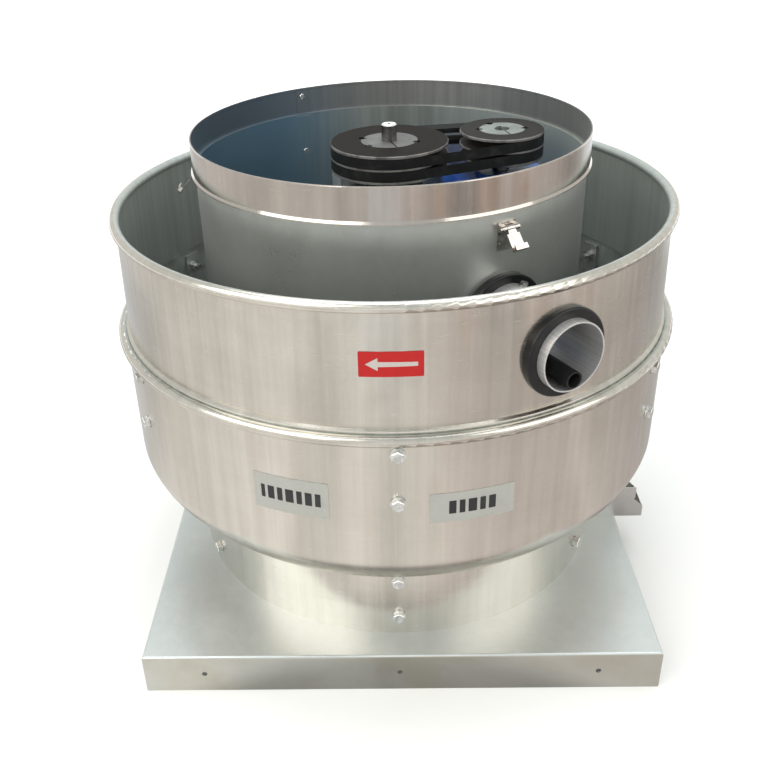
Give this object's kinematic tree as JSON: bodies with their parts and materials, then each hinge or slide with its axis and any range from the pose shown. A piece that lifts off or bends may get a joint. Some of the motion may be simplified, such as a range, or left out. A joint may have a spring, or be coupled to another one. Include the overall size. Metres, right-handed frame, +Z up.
{
  "type": "exhaust hood fan",
  "caption": "Belt-drive upblast exhaust fan on a square curb cap: flared windband, motor drum, breather tube, cover latches and an open belt drive.",
  "frame": {"origin": "centre of the curb cap's lower edge, on the fan shaft's axis", "axes": "+Z up along the fan shaft, -Y towards the front with the direction label, +X to the right, towards the drain spout"},
  "size_m": [0.7199, 0.72, 0.624],
  "materials": {
    "galvanised_sheet": "dull galvanised",
    "spun_aluminium": "satin, vertical reflections",
    "bright_sheet": "bright",
    "zinc_fastener": "bright zinc",
    "polished_tube": "turned, bright",
    "black_rubber": "satin moulded",
    "belt_rubber": "fabric-wrapped, matt",
    "nickel_latch": "bright plated",
    "frame_steel": "galvanised, dull",
    "cast_housing": "painted casting",
    "bearing_steel": "ground",
    "black_iron": "phosphated, turned rim",
    "phosphated_iron": "machined",
    "motor_paint": "blue enamel"
  },
  "bodies": {
    "housing": {"curb_cap": "galvanised_sheet", "inlet_cone": "spun_aluminium", "lower_windband": "spun_aluminium", "upper_windband": "spun_aluminium", "strut_1": "galvanised_sheet", "strut_2": "galvanised_sheet", "strut_3": "galvanised_sheet", "strut_4": "galvanised_sheet", "strut_5": "galvanised_sheet", "strut_6": "galvanised_sheet", "windband_bolts": "zinc_fastener", "strut_nuts": "zinc_fastener", "drain_spout": "bright_sheet", "sheet_rivets": "zinc_fastener", "motor_drum": "galvanised_sheet", "drum_floor": "galvanised_sheet", "drum_collar": "bright_sheet", "breather_tube": "polished_tube", "tube_screw": "zinc_fastener", "outer_grommet": "black_rubber", "inner_grommet": "black_rubber", "wiring_conduit": "polished_tube", "latch_bases": "nickel_latch", "latch_pins": "zinc_fastener", "drive_frame": "frame_steel", "vibration_isolators": "black_rubber", "bearing_riser": "frame_steel", "lower_bearing_housing": "cast_housing", "upper_bearing_housing": "cast_housing", "bearing_outer_rings": "bearing_steel", "bearing_bolts": "zinc_fastener", "tension_nuts": "zinc_fastener", "v_belt_lower": "belt_rubber", "v_belt_upper": "belt_rubber"},
    "fan_rotor": {"fan_shaft": "bearing_steel", "bearing_inner_rings": "bearing_steel", "fan_pulley": "black_iron", "fan_bush": "phosphated_iron", "fan_bush_screws": "phosphated_iron", "wheel_hub": "phosphated_iron", "hub_bolts": "zinc_fastener", "wheel_backplate": "spun_aluminium", "wheel_shroud": "spun_aluminium", "wheel_blades": "spun_aluminium"},
    "motor": {"motor_body": "motor_paint", "motor_feet": "motor_paint", "motor_end_bell": "motor_paint", "motor_fan_cowl": "motor_paint", "terminal_box": "motor_paint", "motor_foot_bolts": "zinc_fastener", "tension_rods": "zinc_fastener"},
    "motor_rotor": {"motor_shaft": "bearing_steel", "motor_pulley": "black_iron", "motor_bush": "phosphated_iron", "motor_bush_screws": "phosphated_iron"},
    "lever_1": {"latch_lever_1": "nickel_latch"},
    "lever_2": {"latch_lever_2": "nickel_latch"},
    "lever_3": {"latch_lever_3": "nickel_latch"}
  },
  "joints": [
    {"name": "fan_spin", "type": "hinge", "parent": "housing", "child": "fan_rotor", "pos_m": [0, 0, 0.44], "axis": [0, 0, -1], "continuous": true},
    {"name": "motor_slide", "type": "slide", "parent": "housing", "child": "motor", "axis": [0.9681, 0.2504, 0], "range_m": [-0.01, 0]},
    {"name": "motor_spin", "type": "hinge", "parent": "motor", "child": "motor_rotor", "pos_m": [0.14261, 0.03688, 0.52], "axis": [0, 0, -1], "continuous": true},
    {"name": "latch_1", "type": "hinge", "parent": "housing", "child": "lever_1", "pos_m": [0.1235, -0.21391, 0.566], "axis": [-0.866, -0.5, 0], "range_deg": [-35, 120]},
    {"name": "latch_2", "type": "hinge", "parent": "housing", "child": "lever_2", "pos_m": [0.1235, 0.21391, 0.566], "axis": [0.866, -0.5, 0], "range_deg": [-35, 120]},
    {"name": "latch_3", "type": "hinge", "parent": "housing", "child": "lever_3", "pos_m": [-0.247, 0, 0.566], "axis": [0, 1, 0], "range_deg": [-35, 120]}
  ],
  "couplings": [
    {"joint": "motor_spin", "follows": "fan_spin", "ratio": 1.4}
  ]
}
